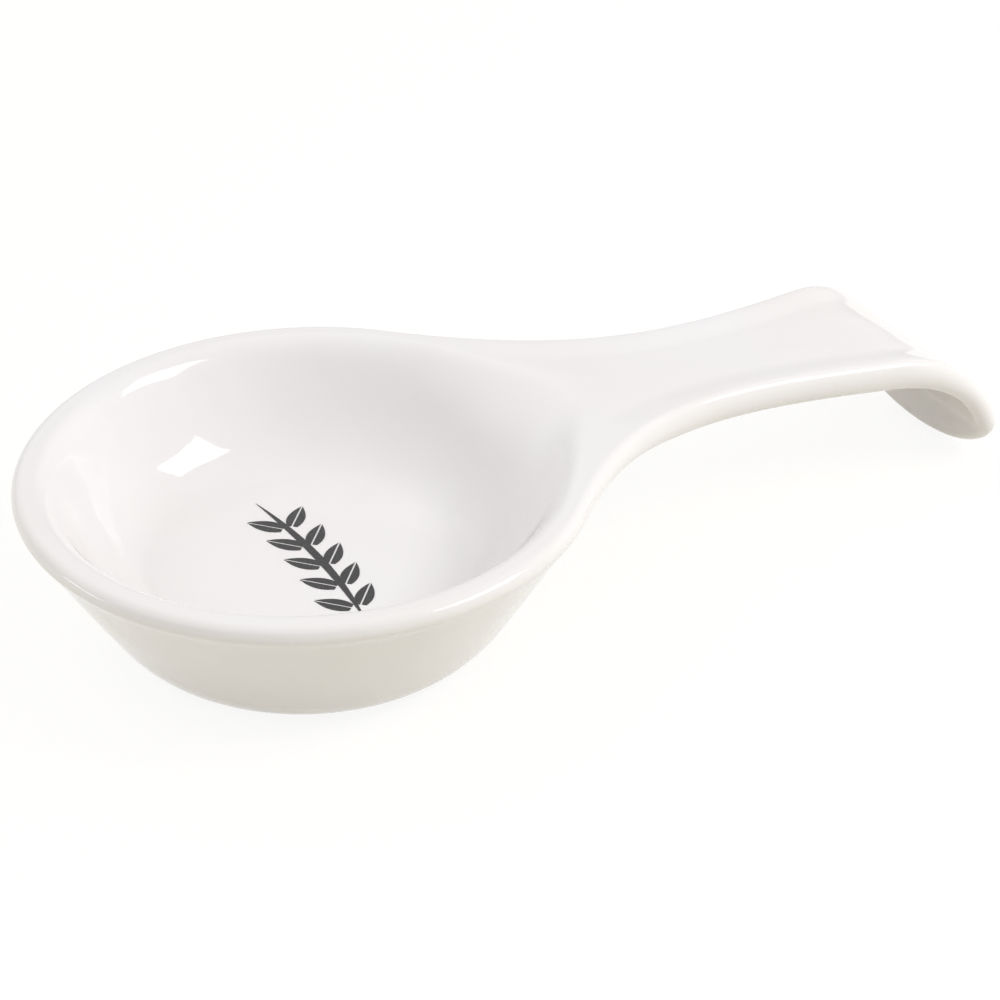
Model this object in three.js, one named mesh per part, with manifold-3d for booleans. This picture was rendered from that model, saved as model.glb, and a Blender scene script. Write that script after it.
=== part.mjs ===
// A ceramic spoon rest in the shape of a short spoon: a round bowl with a rolled rim, a channelled handle
// that leaves the rim, and a lip at the handle's end that turns down to the table.
// Millimetres, +Z up, +X from the bowl towards the lip. The foot and the lip stand on Z = 0.

import * as THREE from 'three';
import { mergeVertices } from 'three/addons/utils/BufferGeometryUtils.js';
import Module from 'manifold-3d';

// Bowl
const bowlRadius = 60;
const rimHeight = 37.7;
const rimRoll = 2.45; // radius of the rolled rim
const rimWidth = 6.4; // from the rim's edge to the line of the inner wall, at the rim's height
const rimRound = 4.2; // how softly the rim turns into the inner wall
const rimOverhang = 0.12; // how far the roll stands out past the outer wall
const tuckRound = 1.5; // how softly the roll turns into the outer wall under it
const wallLean = THREE.MathUtils.degToRad(59.2); // both walls, from level
const floorRound = 13; // how softly the inner wall turns into the floor
const baseThickness = 7;
const footRound = 8.7; // how softly the outer wall turns into the base

// Foot ring under the bowl
const footStep = 1; // how far the ring stands below the base
const footRingInset = 5.8; // from the foot of the straight wall to the ring's edge
const footRingWidth = 6;
const footRingSeat = 1.5; // how far the ring runs up into the base
const footDraft = 0.6; // how much wider the ring is at its root
const hollowHeight = 6.5; // from the table to the roof of the hollow inside the ring
const hollowDraft = 3;

// Handle, measured along its top from the bowl's rim
const neckAngle = THREE.MathUtils.degToRad(46.3); // where the outline leaves the round bowl
const neckReach = 25;
const waistFromRim = 41;
const waistReach = 25;
const waistHalfWidth = 17.4;
const flareReach = 25;
const earReach = 30;
const earHalfWidth = 24.8;
const endLength = 12; // from the widest point to the tip
const handleRoll = 3.55; // half the thickness of the handle's edge, an oval roll
const handleCrest = 2.35; // from that edge in to the crest of the oval
const earRoll = 2.4; // radius of the edge at the widest part of the lip
const tipRoll = 3.6; // radius of the edge at the tip, which stands on the table
const channelDepth = 0.7;
const beadWidth = 7.5; // from the crest of the rolled edge to the level floor of the channel
const channelBlend = 25; // the channel grows from nothing over this length, each side of the rim
const mouthRound = 22; // how softly the channel falls into the bowl
const mouthStart = 30; // from the bowl's axis to where that softness begins, towards the handle
const mouthInset = 20; // from the edge's crest to where that softness is full
const neckRound = 9; // how softly the handle's underside meets the bowl's wall

// The handle's slope and the bend of its lip
const deckSlope = THREE.MathUtils.degToRad(4);
const deckBlend = 28; // length over which the level rim turns to the handle's slope
const deckLength = 78; // from the rim to the start of the bend
const bendRadius = 30.5;

// Print on the bowl's floor: a sprig of paired leaves
const printThickness = 0.3;
const stemLength = 52;
const stemWidth = 1.8;
const stemBow = 2.2;
const leafLength = 9.8;
const leafWidth = 3.9;
const leafBelly = 4.4; // from the leaf's root to where its sides are pulled out
const leafPairs = 5;
const leafSpacing = 8.4;
const leafAngle = THREE.MathUtils.degToRad(42);

// How finely the ceramic body is cut into facets
const bowlColumns = 24;
const neckColumns = 26;
const handleColumns = 10;
const endColumns = 10;
const faceRows = 10;
const rollSteps = 8;
const rowCrowding = 0.7; // below 1, rows crowd towards the rim
const roundSides = 72;
const printCurveSteps = 8;
const weldDistance = 1e-3; // corners closer than this are one

// Sizes that follow from the ones above
const wallSlope = Math.tan(wallLean);
const crestRadius = bowlRadius - rimRoll;
const wallStart = crestRadius + (rimRoll - rimOverhang) / Math.sin(wallLean); // at the roll's centre
const wallFootRadius = wallStart - (rimHeight - rimRoll - footStep) / wallSlope;
const innerWallRadius = bowlRadius - rimWidth;
const floorHeight = hollowHeight + baseThickness;
const bowlDepth = rimHeight - floorHeight;
const footRingRadius = wallFootRadius - footRingInset;
const hollowRadius = footRingRadius - footRingWidth;
const waistPlace = bowlRadius + waistFromRim;
const bendPlace = bowlRadius + deckLength;
const blendStart = bowlRadius - deckBlend / 2;

// The handle's centre line: level over the bowl, easing into a slope, straight, then round the bend.
const stretches = [
  { length: deckBlend, curve: -deckSlope / deckBlend },
  { length: bendPlace - blendStart - deckBlend, curve: 0 },
  { length: Infinity, curve: -1 / bendRadius },
];

function spineAt(s) {
  const place = { x: Math.min(s, blendStart), z: rimHeight, slope: 0 };
  let left = s - blendStart;
  for (const { length, curve } of stretches) {
    if (left <= 0) break;
    const step = Math.min(left, length);
    const halfTurn = (curve * step) / 2;
    const chord = curve === 0 ? step : (step * Math.sin(halfTurn)) / halfTurn;
    place.x += chord * Math.cos(place.slope + halfTurn);
    place.z += chord * Math.sin(place.slope + halfTurn);
    place.slope += 2 * halfTurn;
    left -= step;
  }
  return place;
}

// The lip bends until the rolled edge at its tip just stands on the table.
const bendTop = spineAt(bendPlace).z;
const tipCosine = (bendRadius * Math.cos(deckSlope) + tipRoll - bendTop) / (bendRadius - tipRoll);
const lipTurn = Math.acos(tipCosine) - deckSlope;
const tipPlace = bendPlace + bendRadius * lipTurn + tipRoll;
const earPlace = tipPlace - endLength;
const endCentre = tipPlace - earHalfWidth / 2;

// 0 over the bowl, 1 on the handle.
function handleShare(s) {
  return THREE.MathUtils.smoothstep(s, bowlRadius - channelBlend, bowlRadius + channelBlend);
}

// 0 on the handle, 1 at the widest part of the lip.
function lipShare(s) {
  return THREE.MathUtils.smoothstep(s, bendPlace, earPlace);
}

// The rolled edge thins out down the lip's sides and is thicker again at the tip.
function rollAt(s) {
  const roll = THREE.MathUtils.lerp(rimRoll, handleRoll, handleShare(s));
  const lipRoll = THREE.MathUtils.lerp(earRoll, tipRoll, THREE.MathUtils.smoothstep(s, earPlace, tipPlace));
  return THREE.MathUtils.lerp(roll, lipRoll, lipShare(s));
}

// From the edge in to the crest of its roll, which is round on the rim and the lip and oval on the handle.
function crestAt(s) {
  return THREE.MathUtils.lerp(rollAt(s), handleCrest, handleShare(s) * (1 - lipShare(s)));
}

// The lower of two heights, with the corner between them rounded over a height of 2 * round.
function smoothMin(a, b, round) {
  const mix = THREE.MathUtils.clamp(0.5 + (b - a) / (2 * round), 0, 1);
  return b + (a - b) * mix - round * mix * (1 - mix);
}

function smoothMax(a, b, round) {
  return -smoothMin(-a, -b, round);
}

// Heights are measured square to the centre line, from the level of the rim's crest.
// inset is the distance in from the crest of the rolled edge. The channel runs out over the lip.
function topHeight(s, y, inset) {
  const share = handleShare(s);
  const bead = THREE.MathUtils.smoothstep(inset, 0, beadWidth);
  const channel = -channelDepth * share * (1 - lipShare(s)) * bead;
  const wall = (Math.hypot(s, y) - innerWallRadius) * wallSlope;
  const hollow = smoothMax(-bowlDepth, wall, floorRound);
  const towardsHandle = THREE.MathUtils.smoothstep(s, mouthStart, bowlRadius);
  const scoop = towardsHandle * THREE.MathUtils.smoothstep(inset, 0, mouthInset);
  return smoothMin(channel, hollow, THREE.MathUtils.lerp(rimRound, mouthRound, scoop));
}

// The outer wall and base of the bowl, joined to the underside of the roll or of the handle, which lies at
// the given height. tuck is 0 where the roll turns under and 1 where it has turned.
function bottomHeight(s, y, underside, tuck) {
  const base = footStep - rimHeight;
  const wall = base + (Math.hypot(s, y) - wallFootRadius) * wallSlope;
  const bowl = smoothMax(base, wall, footRound);
  const round = tuck * THREE.MathUtils.lerp(tuckRound, neckRound, handleShare(s));
  return smoothMin(underside, bowl, Math.max(round, Number.EPSILON));
}

// One side of the outline, laid flat, from the back of the bowl to the tip. Each point has the place on the
// centre line that its rib runs to.
function halfOutline() {
  const ribs = [];
  const neckStart = new THREE.Vector2(Math.cos(neckAngle), Math.sin(neckAngle)).multiplyScalar(bowlRadius);
  const neckHeading = new THREE.Vector2(Math.sin(neckAngle), -Math.cos(neckAngle));
  const waist = new THREE.Vector2(waistPlace, waistHalfWidth);
  const ear = new THREE.Vector2(earPlace, earHalfWidth);
  const neck = new THREE.CubicBezierCurve(
    neckStart,
    neckStart.clone().addScaledVector(neckHeading, neckReach),
    waist.clone().sub(new THREE.Vector2(waistReach, 0)),
    waist,
  );
  const flare = new THREE.CubicBezierCurve(
    waist,
    waist.clone().add(new THREE.Vector2(flareReach, 0)),
    ear.clone().sub(new THREE.Vector2(earReach, 0)),
    ear,
  );
  for (let i = 0; i < bowlColumns; i += 1) {
    const angle = THREE.MathUtils.lerp(Math.PI, neckAngle, i / bowlColumns);
    const point = new THREE.Vector2(Math.cos(angle), Math.sin(angle)).multiplyScalar(bowlRadius);
    ribs.push({ point, target: 0 });
  }
  for (let i = 0; i < neckColumns; i += 1) {
    const t = i / neckColumns;
    ribs.push({ point: neck.getPoint(t), target: waistPlace * t });
  }
  for (let i = 0; i < handleColumns; i += 1) {
    const t = i / handleColumns;
    ribs.push({ point: flare.getPoint(t), target: THREE.MathUtils.lerp(waistPlace, endCentre, t) });
  }
  for (let i = 0; i <= endColumns; i += 1) {
    const angle = (Math.PI / 2) * (i / endColumns);
    const point = new THREE.Vector2(earPlace + endLength * Math.sin(angle), earHalfWidth * Math.cos(angle));
    ribs.push({ point, target: endCentre });
  }
  ribs[0].point.y = 0;
  ribs.at(-1).point.y = 0;
  return ribs;
}

// The full outline, closed, with the direction that points inwards at each point.
function closedOutline() {
  const half = halfOutline();
  const mirrored = half.slice(1, -1).reverse();
  const ribs = half.concat(
    mirrored.map(({ point, target }) => ({ point: new THREE.Vector2(point.x, -point.y), target })),
  );
  ribs.forEach((rib, i) => {
    const before = ribs[(i + ribs.length - 1) % ribs.length].point;
    const after = ribs[(i + 1) % ribs.length].point;
    const along = after.clone().sub(before).normalize();
    rib.inward = new THREE.Vector2(along.y, -along.x);
  });
  return ribs;
}

// One rib's section: across the top from the centre line to the crest, round the rolled edge, and back
// underneath to the centre line. Each entry is a place along, a place across and a height.
function ribSection({ point, target, inward }) {
  const roll = rollAt(point.x);
  const crestInset = crestAt(point.x);
  const centre = new THREE.Vector2(target, 0);
  const crest = point.clone().addScaledVector(inward, crestInset);
  const section = [];
  for (let i = 0; i < faceRows; i += 1) {
    const place = centre.clone().lerp(crest, (i / faceRows) ** rowCrowding);
    const inset = place.clone().sub(crest).dot(inward);
    section.push([place.x, place.y, topHeight(place.x, place.y, inset)]);
  }
  for (let i = 0; i <= rollSteps; i += 1) {
    const angle = THREE.MathUtils.lerp(Math.PI / 2, -Math.PI / 2, i / rollSteps);
    const place = point.clone().addScaledVector(inward, crestInset * (1 - Math.cos(angle)));
    const height = roll * (Math.sin(angle) - 1);
    const tuck = Math.sin(Math.min(angle, 0)) ** 2;
    section.push([place.x, place.y, angle < 0 ? bottomHeight(place.x, place.y, height, tuck) : height]);
  }
  for (let i = faceRows - 1; i >= 0; i -= 1) {
    const place = centre.clone().lerp(crest, (i / faceRows) ** rowCrowding);
    section.push([place.x, place.y, bottomHeight(place.x, place.y, -2 * rollAt(place.x), 1)]);
  }
  return section;
}

// Bends a flat place and a height round the centre line.
function bent([s, y, height]) {
  const { x, z, slope } = spineAt(s);
  return [x - height * Math.sin(slope), y, z + height * Math.cos(slope)];
}

// Joins equal corners and drops triangles that have closed up.
function welded(geometry) {
  geometry.deleteAttribute('normal');
  geometry.deleteAttribute('uv');
  const merged = mergeVertices(geometry, weldDistance);
  const corners = merged.index.array;
  const kept = [];
  for (let i = 0; i < corners.length; i += 3) {
    const [a, b, c] = corners.slice(i, i + 3);
    if (a !== b && b !== c && c !== a) kept.push(a, b, c);
  }
  merged.setIndex(kept);
  return merged;
}

// The shell between neighbouring ribs. Each four-sided patch is split along its shorter diagonal.
function castingGeometry() {
  const sections = closedOutline().map((rib) => ribSection(rib).map(bent));
  const columns = sections.length;
  const rows = sections[0].length;
  const corners = sections.flat().map((corner) => new THREE.Vector3(...corner));
  const index = [];
  for (let column = 0; column < columns; column += 1) {
    const next = (column + 1) % columns;
    for (let row = 0; row < rows - 1; row += 1) {
      const a = column * rows + row;
      const b = next * rows + row;
      const across = corners[a].distanceTo(corners[b + 1]);
      const back = corners[a + 1].distanceTo(corners[b]);
      if (across < back) index.push(a, b + 1, a + 1, a, b, b + 1);
      else index.push(a, b, a + 1, a + 1, b, b + 1);
    }
  }
  const geometry = new THREE.BufferGeometry();
  geometry.setFromPoints(corners);
  geometry.setIndex(index);
  return welded(geometry);
}

// A solid of revolution about the bowl's axis, from its profile of radius and height.
function turned(profile) {
  const points = profile.map(([radius, height]) => new THREE.Vector2(radius, height));
  const geometry = new THREE.LatheGeometry(points, roundSides);
  geometry.rotateX(Math.PI / 2);
  return welded(geometry);
}

const wasm = await Module();
wasm.setup();

function solid(geometry) {
  const vertProperties = new Float32Array(geometry.attributes.position.array);
  const triVerts = new Uint32Array(geometry.index.array);
  return new wasm.Manifold(new wasm.Mesh({ numProp: 3, vertProperties, triVerts }));
}

function geometryOf(manifold) {
  const { vertProperties, triVerts } = manifold.getMesh();
  const geometry = new THREE.BufferGeometry();
  geometry.setAttribute('position', new THREE.BufferAttribute(vertProperties, 3));
  geometry.setIndex(new THREE.BufferAttribute(triVerts, 1));
  geometry.computeVertexNormals();
  return geometry;
}

// The casting: the bent shell, with the foot ring added under the bowl and the hollow cut inside it.
function ceramicBody() {
  const ring = turned([
    [0, 0],
    [footRingRadius, 0],
    [footRingRadius + footDraft, footStep],
    [footRingRadius + footDraft, footStep + footRingSeat],
    [0, footStep + footRingSeat],
  ]);
  const hollow = turned([
    [0, -footStep],
    [hollowRadius, -footStep],
    [hollowRadius, 0],
    [hollowRadius - hollowDraft, hollowHeight],
    [0, hollowHeight],
  ]);
  const casting = solid(castingGeometry()).add(solid(ring)).subtract(solid(hollow));
  const glaze = new THREE.MeshStandardMaterial({ color: 0xf4f3f0, roughness: 0.12, metalness: 0 });
  const mesh = new THREE.Mesh(geometryOf(casting), glaze);
  mesh.name = 'ceramic_body';
  return mesh;
}

// A flat piece of the print, lying on the bowl's floor.
function printed(shape, turn, x, y) {
  const geometry = new THREE.ExtrudeGeometry(shape, {
    depth: printThickness,
    bevelEnabled: false,
    curveSegments: printCurveSteps,
  });
  geometry.rotateZ(turn);
  geometry.translate(x, y, floorHeight);
  return solid(welded(geometry));
}

// The stem is a bowed band along Y, drawn to a point at both ends.
function stemShape() {
  const shape = new THREE.Shape();
  shape.moveTo(0, -stemLength / 2);
  shape.quadraticCurveTo(2 * stemBow - stemWidth, 0, 0, stemLength / 2);
  shape.quadraticCurveTo(2 * stemBow + stemWidth, 0, 0, -stemLength / 2);
  return shape;
}

function leafShape() {
  const shape = new THREE.Shape();
  shape.moveTo(0, 0);
  shape.quadraticCurveTo(leafWidth, leafBelly, 0, leafLength);
  shape.quadraticCurveTo(-leafWidth, leafBelly, 0, 0);
  return shape;
}

function floorMotif() {
  let sprig = printed(stemShape(), 0, 0, 0);
  for (let pair = 0; pair < leafPairs; pair += 1) {
    const y = (pair - leafPairs / 2) * leafSpacing;
    const x = stemBow * (1 - ((2 * y) / stemLength) ** 2);
    for (const side of [-1, 1]) {
      sprig = sprig.add(printed(leafShape(), side * leafAngle, x, y));
    }
  }
  const ink = new THREE.MeshStandardMaterial({ color: 0x39393a, roughness: 0.35, metalness: 0 });
  const mesh = new THREE.Mesh(geometryOf(sprig), ink);
  mesh.name = 'floor_motif';
  return mesh;
}

// The bowl's axis is the origin of the shapes above. The finished part is centred on its length.
const spoonRest = new THREE.Group();
spoonRest.add(ceramicBody(), floorMotif());
const reach = new THREE.Box3().setFromObject(spoonRest);
spoonRest.position.x = -(reach.min.x + reach.max.x) / 2;

export default spoonRest;
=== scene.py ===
import sys
import math

import bmesh
import bpy
from mathutils import Matrix, Vector


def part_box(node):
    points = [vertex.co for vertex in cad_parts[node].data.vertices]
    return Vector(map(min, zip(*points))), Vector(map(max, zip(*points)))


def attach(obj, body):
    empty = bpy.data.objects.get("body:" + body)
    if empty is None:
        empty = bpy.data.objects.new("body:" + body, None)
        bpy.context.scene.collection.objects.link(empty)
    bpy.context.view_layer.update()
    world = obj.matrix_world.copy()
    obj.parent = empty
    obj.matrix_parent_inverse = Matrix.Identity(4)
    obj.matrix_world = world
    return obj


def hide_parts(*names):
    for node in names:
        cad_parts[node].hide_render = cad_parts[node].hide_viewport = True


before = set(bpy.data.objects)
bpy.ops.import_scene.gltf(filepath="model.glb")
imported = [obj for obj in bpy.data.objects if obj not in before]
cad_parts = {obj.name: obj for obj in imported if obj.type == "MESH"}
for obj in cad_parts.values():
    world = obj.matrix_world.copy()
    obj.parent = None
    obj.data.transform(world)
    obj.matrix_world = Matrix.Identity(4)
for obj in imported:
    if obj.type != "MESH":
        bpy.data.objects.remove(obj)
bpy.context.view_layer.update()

# The casting
# The real rest is one slip-cast piece of white earthenware. Bowl, rolled rim, channelled handle and lip
# leave the plaster mould together. It is laid out flat here, rib by rib, and bent over at the handle.

body_low, body_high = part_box("ceramic_body")
bowl_radius = 0.060
bowl_axis = body_low.x + bowl_radius
rim_height = body_high.z
rim_roll = 0.00245
rim_width = 0.0064
rim_round = 0.0042
rim_overhang = 0.00012
tuck_radius = 0.005
tuck_fade = 0.006
step_ease = 0.006
wall_lean = math.radians(59.2)
floor_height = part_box("floor_motif")[0].z
floor_round = 0.013
foot_step = 0.001
foot_round = 0.0087

# The neck, the waist, the ears and the lip, as they lie flat.
neck_angle = math.radians(46.3)
neck_reach = 0.025
waist_distance = 0.041
waist_place = bowl_radius + waist_distance
waist_reach = 0.025
waist_half_width = 0.0174
flare_reach = 0.025
ear_reach = 0.030
ear_half_width = 0.0248
end_length = 0.012
handle_roll = 0.00355
handle_crest = 0.00235
ear_roll = 0.0024
tip_roll = 0.0036
channel_depth = 0.0007
bead_width = 0.0075
channel_blend = 0.025
mouth_round = 0.022
mouth_start = 0.030
mouth_inset = 0.020
neck_round = 0.009

# The handle slopes down a little from the rim and then bends over.
deck_slope = math.radians(4)
deck_blend = 0.028
deck_length = 0.078
bend_place = bowl_radius + deck_length
bend_radius = 0.0305

wall_slope = math.tan(wall_lean)
crest_radius = bowl_radius - rim_roll
wall_start = crest_radius + (rim_roll - rim_overhang) / math.sin(wall_lean)
wall_foot_radius = wall_start - (rim_height - rim_roll - foot_step) / wall_slope
inner_wall_radius = bowl_radius - rim_width
bowl_depth = rim_height - floor_height
blend_start = bowl_radius - deck_blend / 2

# The foot ring stands inside the wall's foot. The casting is left open inside foot_edge for it.
foot_inset = 0.0058
foot_ring_radius = wall_foot_radius - foot_inset
foot_ring_width = 0.006
foot_draft = 0.0006
foot_margin = 0.001
foot_edge = foot_ring_radius + foot_draft + foot_margin

# How finely the mesh is laid: columns round the outline, and rows along each rib.
bowl_columns = 96
neck_columns = 36
handle_columns = 36
end_columns = 40
top_rows = 80
roll_rows = 28
under_rows = 40
row_crowding = 0.6
seam_gap = 1e-6


def mixed(a, b, share):
    """a where share is 0, b where it is 1."""
    return a + (b - a) * share


def eased(value, low, high):
    """0 below low, 1 above high, and a soft rise between."""
    share = min(max((value - low) / (high - low), 0.0), 1.0)
    return share * share * (3 - 2 * share)


def soft_min(a, b, rounding):
    """The lower of two heights, with the corner between them rounded over a height of 2 * rounding."""
    share = min(max(0.5 + (b - a) / (2 * rounding), 0.0), 1.0)
    return b + (a - b) * share - rounding * share * (1 - share)


def soft_max(a, b, rounding):
    """The higher of two heights, rounded in the same way."""
    return -soft_min(-a, -b, rounding)


def spine(along):
    """Place and slope of the handle's centre line: level over the bowl, sloping, then round the bend."""
    x, z, slope = min(along, blend_start), rim_height, 0.0
    left = along - blend_start
    stretches = (
        (deck_blend, -deck_slope / deck_blend),
        (bend_place - blend_start - deck_blend, 0.0),
        (math.inf, -1 / bend_radius),
    )
    for length, curve in stretches:
        if left <= 0:
            break
        step = min(left, length)
        half_turn = curve * step / 2
        chord = step * math.sin(half_turn) / half_turn if half_turn else step
        x += chord * math.cos(slope + half_turn)
        z += chord * math.sin(slope + half_turn)
        slope += 2 * half_turn
        left -= step
    return x, z, slope


# The lip bends until the rolled edge at its tip stands on the table.
bend_top = spine(bend_place)[1]
tip_cosine = (bend_radius * math.cos(deck_slope) + tip_roll - bend_top) / (bend_radius - tip_roll)
tip_place = bend_place + bend_radius * (math.acos(tip_cosine) - deck_slope) + tip_roll
ear_place = tip_place - end_length
end_centre = tip_place - ear_half_width / 2


def handle_share(along):
    """0 over the bowl, 1 on the handle."""
    return eased(along, bowl_radius - channel_blend, bowl_radius + channel_blend)


def lip_share(along):
    """0 on the handle, 1 at the widest part of the lip."""
    return eased(along, bend_place, ear_place)


def roll_at(along):
    """Radius of the rolled edge, which thins out down the lip's sides and is thicker again at the tip."""
    roll = mixed(rim_roll, handle_roll, handle_share(along))
    lip_roll = mixed(ear_roll, tip_roll, eased(along, ear_place, tip_place))
    return mixed(roll, lip_roll, lip_share(along))


def crest_at(along):
    """From the edge in to the roll's crest. The roll is round on the rim and lip, oval on the handle."""
    return mixed(roll_at(along), handle_crest, handle_share(along) * (1 - lip_share(along)))


def top_height(place, inset):
    """Height of the upper face below the rim. inset is the distance in from the crest of the rolled edge."""
    share = handle_share(place.x)
    channel = -channel_depth * share * (1 - lip_share(place.x)) * eased(inset, 0, bead_width)
    wall = (place.length - inner_wall_radius) * wall_slope
    hollow = soft_max(-bowl_depth, wall, floor_round)
    scoop = eased(place.x, mouth_start, bowl_radius) * eased(inset, 0, mouth_inset)
    return soft_min(channel, hollow, mixed(rim_round, mouth_round, scoop))


def under_height(place):
    """Height of the outer wall, the base and the handle's underside."""
    share = handle_share(place.x)
    base = foot_step - rim_height
    wall = base + (place.length - wall_foot_radius) * wall_slope
    bowl = soft_max(base, wall, foot_round)
    return soft_min(-2 * roll_at(place.x), bowl, max(neck_round * share, sys.float_info.epsilon))


def rolled_edge(roll, tucked):
    """Round the roll from its crest, then through the hollow under it to the wall, as insets and heights.

    tucked is 1 on the bowl, whose wall leans away under the roll, and 0 on the handle's level underside.
    """
    lean = wall_lean * tucked
    gap = roll - rim_overhang * tucked
    outward = Vector((-math.sin(lean), -math.cos(lean)))
    down = Vector((math.cos(lean), -math.sin(lean)))
    sweep = math.acos((gap + tuck_radius) / (roll + tuck_radius))
    middle = Vector((roll, -roll))
    meeting = outward * math.cos(sweep) + down * math.sin(sweep)
    tuck_middle = middle + meeting * (roll + tuck_radius)
    roll_length = roll * (math.pi / 2 - math.atan2(meeting.y, -meeting.x))
    tuck_length = tuck_radius * sweep
    points = []
    for i in range(roll_rows + 1):
        length = (roll_length + tuck_length) * i / roll_rows
        if length < roll_length:
            angle = math.pi / 2 - length / roll
            points.append(middle + Vector((-math.cos(angle), math.sin(angle))) * roll)
        else:
            angle = (roll_length + tuck_length - length) / tuck_radius
            points.append(tuck_middle - (outward * math.cos(angle) + down * math.sin(angle)) * tuck_radius)
    return points


def bent(place, height):
    """A flat place and a height above it, bent over the handle's centre line, in the part's frame."""
    x, z, slope = spine(place.x)
    return Vector((bowl_axis + x - height * math.sin(slope), place.y, z + height * math.cos(slope)))


def on_curve(curve, share):
    """A place on a cubic curve, given by its two ends and the two points that steer it."""
    a, b, c, d = curve
    rest = 1 - share
    return a * rest**3 + b * 3 * rest**2 * share + c * 3 * rest * share**2 + d * share**3


def outline_ribs():
    """The outline, laid flat, once round, and for each point where its rib meets the centre line."""
    neck_start = Vector((math.cos(neck_angle), math.sin(neck_angle))) * bowl_radius
    neck_heading = Vector((math.sin(neck_angle), -math.cos(neck_angle)))
    waist = Vector((waist_place, waist_half_width))
    ear = Vector((ear_place, ear_half_width))
    neck = (neck_start, neck_start + neck_heading * neck_reach, waist - Vector((waist_reach, 0)), waist)
    flare = (waist, waist + Vector((flare_reach, 0)), ear - Vector((ear_reach, 0)), ear)
    foot_share = foot_edge / waist_place
    ribs = []
    for i in range(bowl_columns):
        angle = mixed(math.pi, neck_angle, i / bowl_columns)
        ribs.append((Vector((math.cos(angle), math.sin(angle))) * bowl_radius, 0.0))
    for low, high in ((0.0, foot_share), (foot_share, 1.0)):
        for i in range(neck_columns):
            share = mixed(low, high, i / neck_columns)
            ribs.append((on_curve(neck, share), waist_place * share))
    for i in range(handle_columns):
        share = i / handle_columns
        ribs.append((on_curve(flare, share), mixed(waist_place, end_centre, share)))
    for i in range(end_columns + 1):
        angle = math.pi / 2 * i / end_columns
        point = Vector((ear_place + end_length * math.sin(angle), ear_half_width * math.cos(angle)))
        ribs.append((point, end_centre))
    far_side = [(Vector((point.x, -point.y)), target) for point, target in reversed(ribs[1:-1])]
    return ribs + far_side


def under_stop(start, target):
    """Where a rib stops underneath: on the round opening for the foot, or on the centre line past it."""
    centre = Vector((target, 0))
    if target >= foot_edge:
        return centre
    heading = (start - centre).normalized()
    lean = centre.dot(heading)
    return centre + heading * (math.sqrt(lean**2 + foot_edge**2 - target**2) - lean)


def rib_section(before, rib, after):
    """One rib: over the top from the centre line to the crest, round the roll, and back underneath."""
    point, target = rib
    heading = (after[0] - before[0]).normalized()
    inward = Vector((heading.y, -heading.x))
    roll = roll_at(point.x)
    oval = crest_at(point.x) / roll
    centre = Vector((target, 0))
    crest = point + inward * roll * oval
    section = []
    for i in range(top_rows):
        place = centre.lerp(crest, (i / top_rows) ** row_crowding)
        section.append(bent(place, top_height(place, (place - crest).dot(inward))))
    tucked = 1 - eased(point.length - bowl_radius, 0, tuck_fade)
    edge = [Vector((inset * oval, height)) for inset, height in rolled_edge(roll, tucked)]
    section += [bent(point + inward * inset, height) for inset, height in edge]

    # The wall or the underside takes over from the roll's end, and any step between them is eased out.
    start = point + inward * edge[-1].x
    step = edge[-1].y - under_height(start)
    stop = under_stop(start, target)
    for i in reversed(range(under_rows)):
        place = stop.lerp(start, (i / under_rows) ** row_crowding)
        inset = (place - crest).dot(inward)
        section.append(bent(place, under_height(place) + step * (1 - eased(inset, 0, step_ease))))
    return section


ribs = outline_ribs()
columns = len(ribs)
sections = [rib_section(ribs[i - 1], rib, ribs[(i + 1) % columns]) for i, rib in enumerate(ribs)]
last_row = len(sections[0]) - 1

bpy.ops.object.select_all(action="DESELECT")
bpy.ops.mesh.primitive_grid_add(x_subdivisions=columns, y_subdivisions=last_row, size=1)
casting = bpy.context.object
casting.name = "casting"
for vertex in casting.data.vertices:
    column = round((vertex.co.x + 0.5) * columns) % columns
    row = round((vertex.co.y + 0.5) * last_row)
    vertex.co = sections[column][row]

bpy.ops.object.mode_set(mode="EDIT")
bpy.ops.mesh.select_all(action="SELECT")
bpy.ops.mesh.remove_doubles(threshold=seam_gap)

# The foot ring and the hollow inside it are drawn in from the opening's edge, ring by ring.
# On the real casting the ring is wiped clean of glaze, so that it doesn't stick to the kiln's shelf.

hollow_height = 0.0065
hollow_draft = 0.003
hollow_radius = foot_ring_radius - foot_ring_width
hollow_middle = 0.004
ring_round = 0.0004
hollow_edge_round = 0.0007
hollow_corner_round = 0.0022
foot_bevel_steps = 5
corner_gap = 1e-5
edge_height = rim_height + under_height(Vector((0, foot_edge)))
foot_corners = (
    (foot_ring_radius + foot_draft, foot_step, ring_round),
    (foot_ring_radius, 0.0, ring_round),
    (hollow_radius, 0.0, hollow_edge_round),
    (hollow_radius - hollow_draft, hollow_height, hollow_corner_round),
)

bpy.ops.mesh.select_mode(type="EDGE")
bpy.ops.mesh.select_all(action="DESELECT")
bpy.ops.mesh.select_non_manifold()
radius, height = foot_edge, edge_height
for next_radius, next_height, _ in (*foot_corners, (hollow_middle, hollow_height, 0.0)):
    share = next_radius / radius
    bpy.ops.mesh.extrude_edges_move()
    bpy.ops.transform.resize(value=(share, share, 1), center_override=(bowl_axis, 0, 0))
    bpy.ops.transform.translate(value=(0, 0, next_height - height))
    radius, height = next_radius, next_height
bpy.ops.mesh.edge_face_add()

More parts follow.
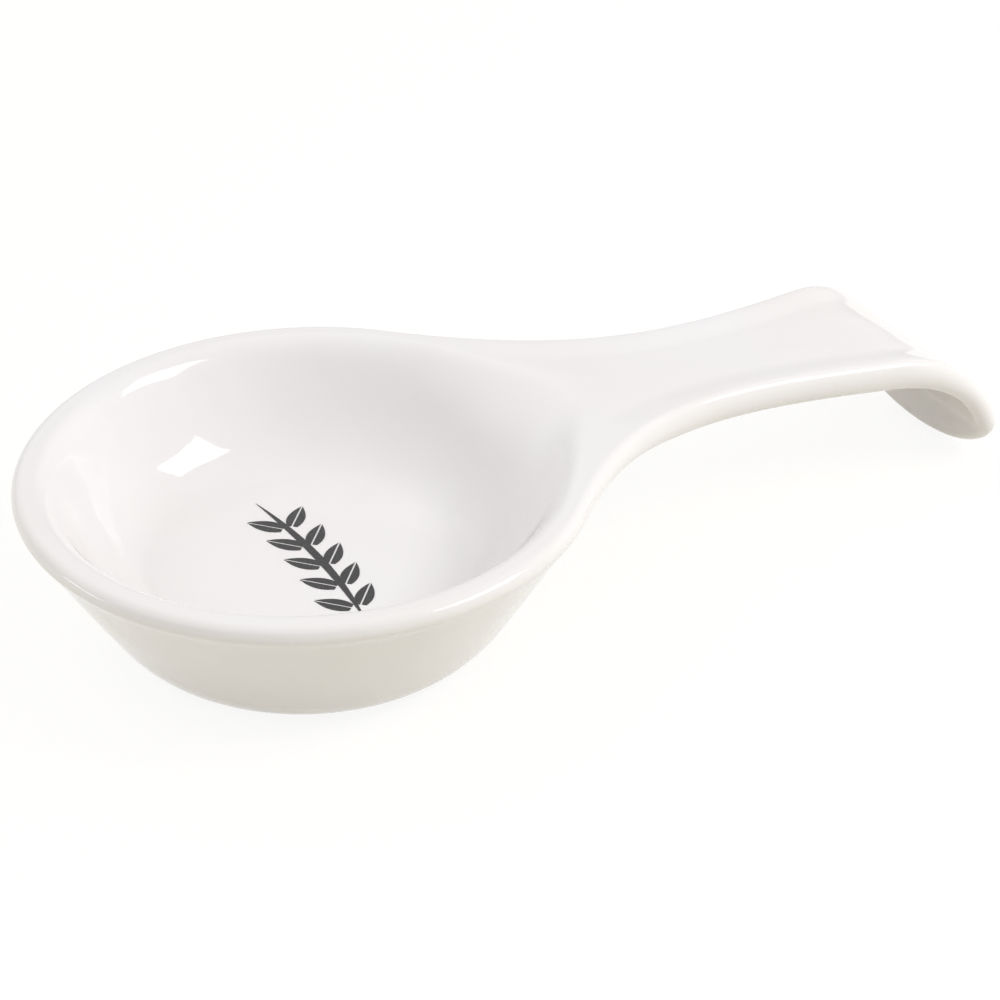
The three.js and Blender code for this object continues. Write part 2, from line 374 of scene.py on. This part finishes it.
for corner_radius, corner_height, rounding in foot_corners:
    bpy.ops.mesh.select_all(action="DESELECT")
    sheet = bmesh.from_edit_mesh(casting.data)
    for edge in sheet.edges:
        offsets = [
            abs(math.hypot(v.co.x - bowl_axis, v.co.y) - corner_radius) + abs(v.co.z - corner_height)
            for v in edge.verts
        ]
        edge.select_set(max(offsets) < corner_gap)
    bmesh.update_edit_mesh(casting.data)
    bpy.ops.mesh.bevel(offset=rounding, segments=foot_bevel_steps, affect="EDGES")

bpy.ops.mesh.select_all(action="SELECT")
bpy.ops.mesh.normals_make_consistent(inside=False)
bpy.ops.object.mode_set(mode="OBJECT")
bpy.ops.object.shade_smooth()

# The glaze
# A clear gloss over white clay, dipped and fired: milk white, faintly warmer where it is thin, with the slow
# ripple of a glaze that ran before it set. The foot ring's ground is bare clay.

glaze_full = (0.880, 0.858, 0.858, 1)
glaze_thin = (0.868, 0.840, 0.830, 1)
bare_clay = (0.80, 0.76, 0.69, 1)
tint_scale = 24
sheen_scale = 70
sheen_glossiest = 0.045
sheen_dullest = 0.09
clay_roughness = 0.8
ripple_scale = 62
ripple_height = 0.00045
peel_scale = 700
peel_height = 0.000006
clay_line = 0.0003

# Most of a noise lies between these two values.
noise_low = 0.32
noise_high = 0.68


def add_node(tree, kind, settings=None, sockets=None):
    """Adds a shader node. A socket is given a plain value or the output that is linked to it."""
    node = tree.nodes.new("ShaderNode" + kind)
    for name, value in (settings or {}).items():
        setattr(node, name, value)
    for name, value in (sockets or {}).items():
        if isinstance(value, bpy.types.NodeSocket):
            tree.links.new(value, node.inputs[name])
        else:
            node.inputs[name].default_value = value
    return node


def noise(tree, place, scale, detail, low, high):
    """Noise of a given scale per metre, spread over the values from low to high."""
    grain = add_node(tree, "TexNoise", sockets={"Vector": place, "Scale": scale, "Detail": detail})
    return add_node(tree, "MapRange", sockets={
        "Value": grain.outputs[0],
        "From Min": noise_low,
        "From Max": noise_high,
        "To Min": low,
        "To Max": high,
    }).outputs[0]


def colour_mix(tree, share, first, second):
    """The first colour where share is 0, the second where it is 1."""
    return add_node(tree, "Mix", {"data_type": "RGBA"}, {0: share, 6: first, 7: second}).outputs[2]


glaze = bpy.data.materials.new("white_glaze")
glaze.use_nodes = True
tree = glaze.node_tree
place = add_node(tree, "TexCoord").outputs["Object"]
thinness = noise(tree, place, tint_scale, detail=2, low=0, high=1)
tint = colour_mix(tree, thinness, glaze_full, glaze_thin)
sheen = noise(tree, place, sheen_scale, detail=1, low=sheen_glossiest, high=sheen_dullest)

# Bare clay shows on the ground of the ring, below the clay line and near the bowl's axis.
from_axis = add_node(
    tree, "VectorMath", {"operation": "DISTANCE"}, {0: place, 1: (bowl_axis, 0, 0)}
).outputs["Value"]
height = add_node(tree, "SeparateXYZ", sockets={0: place}).outputs["Z"]
wiped = add_node(tree, "MapRange", sockets={
    "Value": height, "From Min": clay_line, "From Max": clay_line / 2, "To Min": 0, "To Max": 1,
}).outputs[0]
by_ring = add_node(tree, "Math", {"operation": "LESS_THAN"}, {0: from_axis, 1: foot_edge}).outputs[0]
bare = add_node(tree, "Math", {"operation": "MULTIPLY"}, {0: wiped, 1: by_ring}).outputs[0]
colour = colour_mix(tree, bare, tint, bare_clay)
roughness = add_node(tree, "Mix", sockets={0: bare, 2: sheen, 3: clay_roughness}).outputs[0]

ripple = add_node(tree, "TexNoise", sockets={"Vector": place, "Scale": ripple_scale, "Detail": 1}).outputs[0]
peel = add_node(tree, "TexNoise", sockets={"Vector": place, "Scale": peel_scale, "Detail": 1}).outputs[0]
slow = add_node(tree, "Bump", sockets={"Height": ripple, "Distance": ripple_height})
fine = add_node(tree, "Bump", sockets={"Height": peel, "Distance": peel_height, "Normal": slow.outputs[0]})
glaze_shader = tree.nodes["Principled BSDF"]
tree.links.new(colour, glaze_shader.inputs["Base Color"])
tree.links.new(roughness, glaze_shader.inputs["Roughness"])
tree.links.new(fine.outputs[0], glaze_shader.inputs["Normal"])
casting.data.materials.append(glaze)

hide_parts("ceramic_body")
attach(casting, "root")

# The print
# A sprig of paired leaves on the bowl's floor, a ceramic transfer fired on top of the glaze. The ink is
# a thin dark film: a bowed stem, and leaves whose two halves leave the white of the vein between them.

ink_thickness = 0.00012
stem_length = 0.052
stem_width = 0.0018
stem_bow = 0.0022
leaf_length = 0.0098
leaf_width = 0.0039
leaf_belly = 0.0044
leaf_pairs = 5
leaf_spacing = 0.0084
leaf_angle = math.radians(42)
vein_width = 0.0004
leaf_start = 0.0018
leaf_tip_width = 1e-6
print_steps = 24
print_seam_gap = 2e-6
ink_dark = (0.036, 0.036, 0.038, 1)
ink_pale = (0.056, 0.055, 0.056, 1)
ink_tone_scale = 1400
ink_gloss_scale = 400
ink_glossiest = 0.22
ink_dullest = 0.38


def ink_strip(name, left, right, turn, x, y):
    """A flat strip on the floor between two edges. An edge gives a place for a share of the way along."""
    bpy.ops.object.select_all(action="DESELECT")
    bpy.ops.mesh.primitive_grid_add(x_subdivisions=2, y_subdivisions=print_steps, size=1)
    strip = bpy.context.object
    strip.name = name
    for vertex in strip.data.vertices:
        along = vertex.co.y + 0.5
        vertex.co = Vector(left(along)).lerp(Vector(right(along)), vertex.co.x + 0.5).to_3d()
    seat = Matrix.Translation((bowl_axis + x, y, floor_height))
    strip.data.transform(seat @ Matrix.Rotation(turn, 4, "Z"))
    return strip


def stem_edge(side):
    """The stem's edge on one side, -1 or 1: bowed, and drawn to a point at both ends."""
    def at(along):
        bulge = 2 * along * (1 - along)
        return bulge * (2 * stem_bow + side * stem_width), (along - 0.5) * stem_length
    return at


def leaf_edge(side):
    """A leaf's outer edge on one side, a curve that starts a little way out from the stem's middle."""
    def at(along):
        way = mixed(leaf_start / leaf_length, 1.0, along)
        pull = 2 * way * (1 - way)
        width = max(pull * leaf_width, vein_width / 2 + leaf_tip_width)
        return side * width, pull * leaf_belly + way**2 * leaf_length
    return at


def vein_edge(side):
    """The edge of a leaf's half along the vein, level with its outer edge."""
    def at(along):
        return side * vein_width / 2, leaf_edge(side)(along)[1]
    return at


strips = [ink_strip("stem", stem_edge(-1), stem_edge(1), 0.0, 0.0, 0.0)]
for pair in range(leaf_pairs):
    y = (pair - leaf_pairs / 2) * leaf_spacing
    x = stem_bow * (1 - (2 * y / stem_length) ** 2)
    for turn in (leaf_angle, -leaf_angle):
        strips.append(ink_strip("leaf_half", leaf_edge(-1), vein_edge(-1), turn, x, y))
        strips.append(ink_strip("leaf_half", vein_edge(1), leaf_edge(1), turn, x, y))

bpy.ops.object.select_all(action="DESELECT")
for strip in strips:
    strip.select_set(True)
bpy.context.view_layer.objects.active = strips[0]
bpy.ops.object.join()
sprig = bpy.context.object
sprig.name = "sprig"
bpy.ops.object.mode_set(mode="EDIT")
bpy.ops.mesh.select_all(action="SELECT")
bpy.ops.mesh.remove_doubles(threshold=print_seam_gap)
bpy.ops.mesh.extrude_region_move(TRANSFORM_OT_translate={"value": (0, 0, ink_thickness)})
bpy.ops.mesh.select_all(action="SELECT")
bpy.ops.mesh.normals_make_consistent(inside=False)

# A leaf's half that runs into the stem is made one film with it.
bpy.ops.mesh.intersect_boolean(operation="UNION", use_self=True, solver="EXACT")
bpy.ops.object.mode_set(mode="OBJECT")
bpy.ops.object.shade_flat()

ink = bpy.data.materials.new("print_ink")
ink.use_nodes = True
tree = ink.node_tree
place = add_node(tree, "TexCoord").outputs["Object"]
ink_shader = tree.nodes["Principled BSDF"]
ink_tone = colour_mix(tree, noise(tree, place, ink_tone_scale, detail=3, low=0, high=1), ink_dark, ink_pale)
ink_gloss = noise(tree, place, ink_gloss_scale, detail=2, low=ink_glossiest, high=ink_dullest)
tree.links.new(ink_tone, ink_shader.inputs["Base Color"])
tree.links.new(ink_gloss, ink_shader.inputs["Roughness"])
sprig.data.materials.append(ink)

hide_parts("floor_motif")
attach(sprig, "root")

# The studio
# A plain white table top in a pale room that glows from the left, the right, behind the handle and the far
# side. A window stands on the right, and a strip lamp stands low on the left.

table_size = 12
floor_white = 0.82
floor_level = 1.08
floor_matt = (0.75, 0.725, 0.625, 1)
room_level = 0.25

# Each glow has a bearing, a height and a spread, in degrees, and a brightness at its middle.
room_glows = (
    (142, 55, 75, 0.80),
    (-50, 16, 75, 0.67),
    (18, 13, 38, 0.53),
    (86, 6, 42, 0.37),
)

bpy.ops.object.select_all(action="DESELECT")
bpy.ops.mesh.primitive_plane_add(size=table_size)
table_top = bpy.context.object
table_top.name = "table_top"

# The camera and reflections see it mostly as plain white. The rest is matt paper, which takes the shadow.
paper = bpy.data.materials.new("table_paper")
paper.use_nodes = True
tree = paper.node_tree
tree.nodes.clear()
rays = add_node(tree, "LightPath").outputs
seen = add_node(tree, "Math", {"operation": "MAXIMUM"}, {0: rays["Is Camera Ray"], 1: rays["Is Glossy Ray"]})
seen = add_node(tree, "Math", {"operation": "MAXIMUM"}, {0: seen.outputs[0], 1: rays["Is Transmission Ray"]})
share = add_node(tree, "Math", {"operation": "MULTIPLY"}, {0: seen.outputs[0], 1: floor_white})
matt = add_node(tree, "BsdfDiffuse", sockets={"Color": floor_matt})
glow = add_node(tree, "Emission", sockets={"Strength": floor_level})
blend = add_node(tree, "MixShader", sockets={0: share.outputs[0], 1: matt.outputs[0], 2: glow.outputs[0]})
add_node(tree, "OutputMaterial", sockets={"Surface": blend.outputs[0]})
table_top.data.materials.append(paper)


def bearing(turn, rise):
    """A direction from a bearing (from +X towards +Y) and a height angle, in degrees."""
    turn, rise = math.radians(turn), math.radians(rise)
    return Vector((math.cos(turn) * math.cos(rise), math.sin(turn) * math.cos(rise), math.sin(rise)))


world = bpy.data.worlds.new("studio_air")
world.use_nodes = True
bpy.context.scene.world = world
tree = world.node_tree
sky = add_node(tree, "TexCoord").outputs["Generated"]
level = room_level
for turn, rise, spread, brightness in room_glows:
    facing = add_node(tree, "VectorMath", {"operation": "DOT_PRODUCT"}, {0: sky, 1: bearing(turn, rise)})
    lobe = add_node(tree, "MapRange", {"interpolation_type": "SMOOTHSTEP"}, {
        "Value": facing.outputs["Value"],
        "From Min": math.cos(math.radians(spread)),
        "From Max": 1.0,
        "To Min": 0,
        "To Max": brightness,
    })
    level = add_node(tree, "Math", {"operation": "ADD"}, {0: lobe.outputs[0], 1: level}).outputs[0]
background = tree.nodes["Background"]
background.inputs["Color"].default_value = (1, 1, 1, 1)
tree.links.new(level, background.inputs["Strength"])

# The strip lamp faces the bowl from one metre off, rolled a little on its side.

bowl_centre = Vector((bowl_axis, 0, rim_height))
lamp_place = (158, 6)
lamp_roll = math.radians(-20)
lamp_length = 0.32
lamp_width = 0.10
lamp_level = 6

lamp_sight = bearing(*lamp_place)
lamp_aim = (-lamp_sight).to_track_quat("-Z", "Y").to_matrix() @ Matrix.Rotation(lamp_roll, 3, "Z")
bpy.ops.object.light_add(type="AREA", location=bowl_centre + lamp_sight, rotation=lamp_aim.to_euler())
lamp = bpy.context.object
lamp.name = "strip_left"
lamp.data.shape = "RECTANGLE"
lamp.data.size = lamp_length
lamp.data.size_y = lamp_width
lamp.data.energy = lamp_level * math.pi * lamp_length * lamp_width
lamp.visible_camera = False

# The window is a slanting sheet of light, one metre off. Its corners are given by bearing and height.

window_corners = ((-23, 30), (-51, 33), (-20, 44), (-65, 50))
window_level = 8.6

bpy.ops.object.select_all(action="DESELECT")
bpy.ops.mesh.primitive_plane_add(size=1)
window = bpy.context.object
window.name = "window_right"
for vertex, corner in zip(window.data.vertices, window_corners):
    vertex.co = bowl_centre + bearing(*corner)
window.visible_camera = False

daylight = bpy.data.materials.new("window_daylight")
daylight.use_nodes = True
tree = daylight.node_tree
tree.nodes.clear()
glow = add_node(tree, "Emission", sockets={"Strength": window_level})
add_node(tree, "OutputMaterial", sockets={"Surface": glow.outputs[0]})
window.data.materials.append(daylight)

# The camera
# It stands in front and to the left of the bowl and looks down along the handle.

camera_turn = math.radians(30.1)
camera_drop = math.radians(32.39)
camera_reach = 0.59536
camera_aim = Vector((-0.005164, 0.002687, 0.011996))
camera_lens = 97.92
camera_sensor = 36
sight = Vector((
    math.sin(camera_turn) * math.cos(camera_drop),
    math.cos(camera_turn) * math.cos(camera_drop),
    -math.sin(camera_drop),
))
bpy.ops.object.camera_add(
    location=camera_aim - sight * camera_reach,
    rotation=sight.to_track_quat("-Z", "Y").to_euler(),
)
camera = bpy.context.object
camera.data.lens = camera_lens
camera.data.sensor_width = camera_sensor
bpy.context.scene.camera = camera

bpy.context.scene.view_settings.view_transform = "Standard"
